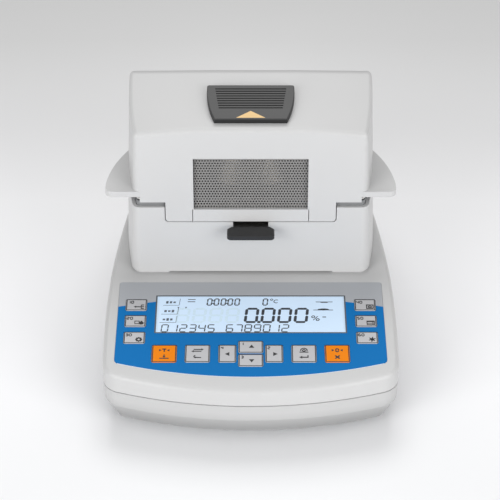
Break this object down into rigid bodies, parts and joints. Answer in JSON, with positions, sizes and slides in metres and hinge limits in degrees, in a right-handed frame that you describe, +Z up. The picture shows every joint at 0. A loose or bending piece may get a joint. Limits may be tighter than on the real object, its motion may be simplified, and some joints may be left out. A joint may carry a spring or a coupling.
{
  "type": "moisture analyzer",
  "caption": "Benchtop halogen moisture analyzer with a sloping keypad and display deck and a hinged drying-chamber lid over a sample pan.",
  "frame": {"origin": "centre of the footprint at table level, under the feet", "axes": "+Z up, -Y towards the user at the keypad, +X to the user's right"},
  "size_m": [0.2058, 0.3325, 0.1903],
  "materials": {
    "shell": "satin",
    "lip": "satin",
    "overlay": "satin",
    "window": "gloss",
    "key_grey": "satin",
    "key_orange": "satin",
    "dark_plastic": "satin",
    "black_plastic": "satin",
    "amber": "satin",
    "steel": "brushed",
    "grille": "satin",
    "aluminium": "satin",
    "board": "satin",
    "supply": "satin",
    "ceramic": "matte",
    "glass": "clear",
    "rubber": "matte"
  },
  "bodies": {
    "base": {"base_plate": "steel", "chamber_base": "shell", "chamber_lip": "lip", "chamber_well": "steel", "display_module": "black_plastic", "display_window": "window", "draught_ring": "aluminium", "hinge_pins": "steel", "housing_screws": "steel", "keypad_board": "board", "keypad_overlay": "overlay", "lower_housing": "shell", "main_board": "board", "mains_inlet": "black_plastic", "pan_holder": "steel", "pan_holder_grip": "dark_plastic", "power_supply": "supply", "rear_panel": "dark_plastic", "serial_port": "steel", "upper_housing": "shell", "usb_ports": "steel", "weigh_cell": "aluminium", "weigh_cell_bracket": "steel"},
    "lid": {"lid_shell": "shell", "hinge_arms": "shell", "front_panel": "shell", "front_grille": "grille", "lid_handle": "dark_plastic", "handle_inlay": "amber", "lid_frame": "steel", "guard_glass": "glass", "glass_retainer": "steel", "reflector": "aluminium", "halogen_tubes": "glass", "lamp_holders": "ceramic", "temperature_probe": "steel"},
    "pan": {"pan_support": "steel", "sample_pan": "aluminium"},
    "left_upper_key": {"left_upper_key": "key_grey"},
    "left_middle_key": {"left_middle_key": "key_grey"},
    "left_lower_key": {"left_lower_key": "key_grey"},
    "right_upper_key": {"right_upper_key": "key_grey"},
    "right_middle_key": {"right_middle_key": "key_grey"},
    "right_lower_key": {"right_lower_key": "key_grey"},
    "tare_key": {"tare_key": "key_orange"},
    "units_key": {"units_key": "key_grey"},
    "arrow_left_key": {"arrow_left_key": "key_grey"},
    "arrow_up_key": {"arrow_up_key": "key_grey"},
    "arrow_down_key": {"arrow_down_key": "key_grey"},
    "arrow_right_key": {"arrow_right_key": "key_grey"},
    "enter_key": {"enter_key": "key_grey"},
    "zero_key": {"zero_key": "key_orange"},
    "front_left_pad": {"front_left_foot_pad": "rubber"},
    "front_left_screw": {"front_left_foot_screw": "black_plastic"},
    "front_right_pad": {"front_right_foot_pad": "rubber"},
    "front_right_screw": {"front_right_foot_screw": "black_plastic"},
    "back_left_pad": {"back_left_foot_pad": "rubber"},
    "back_left_screw": {"back_left_foot_screw": "black_plastic"},
    "back_right_pad": {"back_right_foot_pad": "rubber"},
    "back_right_screw": {"back_right_foot_screw": "black_plastic"}
  },
  "joints": [
    {"name": "lid_hinge", "type": "hinge", "parent": "base", "child": "lid", "pos_m": [0, 0.1261, 0.1181], "axis": [-1, 0, 0], "range_deg": [0, 80]},
    {"name": "pan_travel", "type": "slide", "parent": "base", "child": "pan", "axis": [0, 0, -1], "range_m": [0, 0.0003], "stiffness_N_per_m": 4000, "springref_m": -0.0002},
    {"name": "left_upper_key_press", "type": "slide", "parent": "base", "child": "left_upper_key", "axis": [0, 0.0872, -0.9962], "range_m": [0, 0.0004], "stiffness_N_per_m": 1500, "springref_m": -0.0002},
    {"name": "left_middle_key_press", "type": "slide", "parent": "base", "child": "left_middle_key", "axis": [0, 0.0872, -0.9962], "range_m": [0, 0.0004], "stiffness_N_per_m": 1500, "springref_m": -0.0002},
    {"name": "left_lower_key_press", "type": "slide", "parent": "base", "child": "left_lower_key", "axis": [0, 0.0872, -0.9962], "range_m": [0, 0.0004], "stiffness_N_per_m": 1500, "springref_m": -0.0002},
    {"name": "right_upper_key_press", "type": "slide", "parent": "base", "child": "right_upper_key", "axis": [0, 0.0872, -0.9962], "range_m": [0, 0.0004], "stiffness_N_per_m": 1500, "springref_m": -0.0002},
    {"name": "right_middle_key_press", "type": "slide", "parent": "base", "child": "right_middle_key", "axis": [0, 0.0872, -0.9962], "range_m": [0, 0.0004], "stiffness_N_per_m": 1500, "springref_m": -0.0002},
    {"name": "right_lower_key_press", "type": "slide", "parent": "base", "child": "right_lower_key", "axis": [0, 0.0872, -0.9962], "range_m": [0, 0.0004], "stiffness_N_per_m": 1500, "springref_m": -0.0002},
    {"name": "tare_key_press", "type": "slide", "parent": "base", "child": "tare_key", "axis": [0, 0.0872, -0.9962], "range_m": [0, 0.0004], "stiffness_N_per_m": 1500, "springref_m": -0.0002},
    {"name": "units_key_press", "type": "slide", "parent": "base", "child": "units_key", "axis": [0, 0.0872, -0.9962], "range_m": [0, 0.0004], "stiffness_N_per_m": 1500, "springref_m": -0.0002},
    {"name": "arrow_left_key_press", "type": "slide", "parent": "base", "child": "arrow_left_key", "axis": [0, 0.0872, -0.9962], "range_m": [0, 0.0004], "stiffness_N_per_m": 1500, "springref_m": -0.0002},
    {"name": "arrow_up_key_press", "type": "slide", "parent": "base", "child": "arrow_up_key", "axis": [0, 0.0872, -0.9962], "range_m": [0, 0.0004], "stiffness_N_per_m": 1500, "springref_m": -0.0002},
    {"name": "arrow_down_key_press", "type": "slide", "parent": "base", "child": "arrow_down_key", "axis": [0, 0.0872, -0.9962], "range_m": [0, 0.0004], "stiffness_N_per_m": 1500, "springref_m": -0.0002},
    {"name": "arrow_right_key_press", "type": "slide", "parent": "base", "child": "arrow_right_key", "axis": [0, 0.0872, -0.9962], "range_m": [0, 0.0004], "stiffness_N_per_m": 1500, "springref_m": -0.0002},
    {"name": "enter_key_press", "type": "slide", "parent": "base", "child": "enter_key", "axis": [0, 0.0872, -0.9962], "range_m": [0, 0.0004], "stiffness_N_per_m": 1500, "springref_m": -0.0002},
    {"name": "zero_key_press", "type": "slide", "parent": "base", "child": "zero_key", "axis": [0, 0.0872, -0.9962], "range_m": [0, 0.0004], "stiffness_N_per_m": 1500, "springref_m": -0.0002},
    {"name": "front_left_foot_lift", "type": "slide", "parent": "base", "child": "front_left_pad", "axis": [0, 0, -1], "range_m": [-0.0006, 0.004]},
    {"name": "front_left_foot_turn", "type": "hinge", "parent": "front_left_pad", "child": "front_left_screw", "pos_m": [-0.066, -0.1185, 0], "axis": [0, 0, -1], "range_deg": [-175, 1155]},
    {"name": "front_right_foot_lift", "type": "slide", "parent": "base", "child": "front_right_pad", "axis": [0, 0, -1], "range_m": [-0.0006, 0.004]},
    {"name": "front_right_foot_turn", "type": "hinge", "parent": "front_right_pad", "child": "front_right_screw", "pos_m": [0.066, -0.1185, 0], "axis": [0, 0, -1], "range_deg": [-175, 1155]},
    {"name": "back_left_foot_lift", "type": "slide", "parent": "base", "child": "back_left_pad", "axis": [0, 0, -1], "range_m": [-0.0006, 0.004]},
    {"name": "back_left_foot_turn", "type": "hinge", "parent": "back_left_pad", "child": "back_left_screw", "pos_m": [-0.056, 0.1035, 0], "axis": [0, 0, -1], "range_deg": [-175, 1155]},
    {"name": "back_right_foot_lift", "type": "slide", "parent": "base", "child": "back_right_pad", "axis": [0, 0, -1], "range_m": [-0.0006, 0.004]},
    {"name": "back_right_foot_turn", "type": "hinge", "parent": "back_right_pad", "child": "back_right_screw", "pos_m": [0.056, 0.1035, 0], "axis": [0, 0, -1], "range_deg": [-175, 1155]}
  ],
  "couplings": [
    {"joint": "front_left_foot_turn", "follows": "front_left_foot_lift", "rad_per_m": 5026.5},
    {"joint": "front_right_foot_turn", "follows": "front_right_foot_lift", "rad_per_m": 5026.5},
    {"joint": "back_left_foot_turn", "follows": "back_left_foot_lift", "rad_per_m": 5026.5},
    {"joint": "back_right_foot_turn", "follows": "back_right_foot_lift", "rad_per_m": 5026.5}
  ]
}
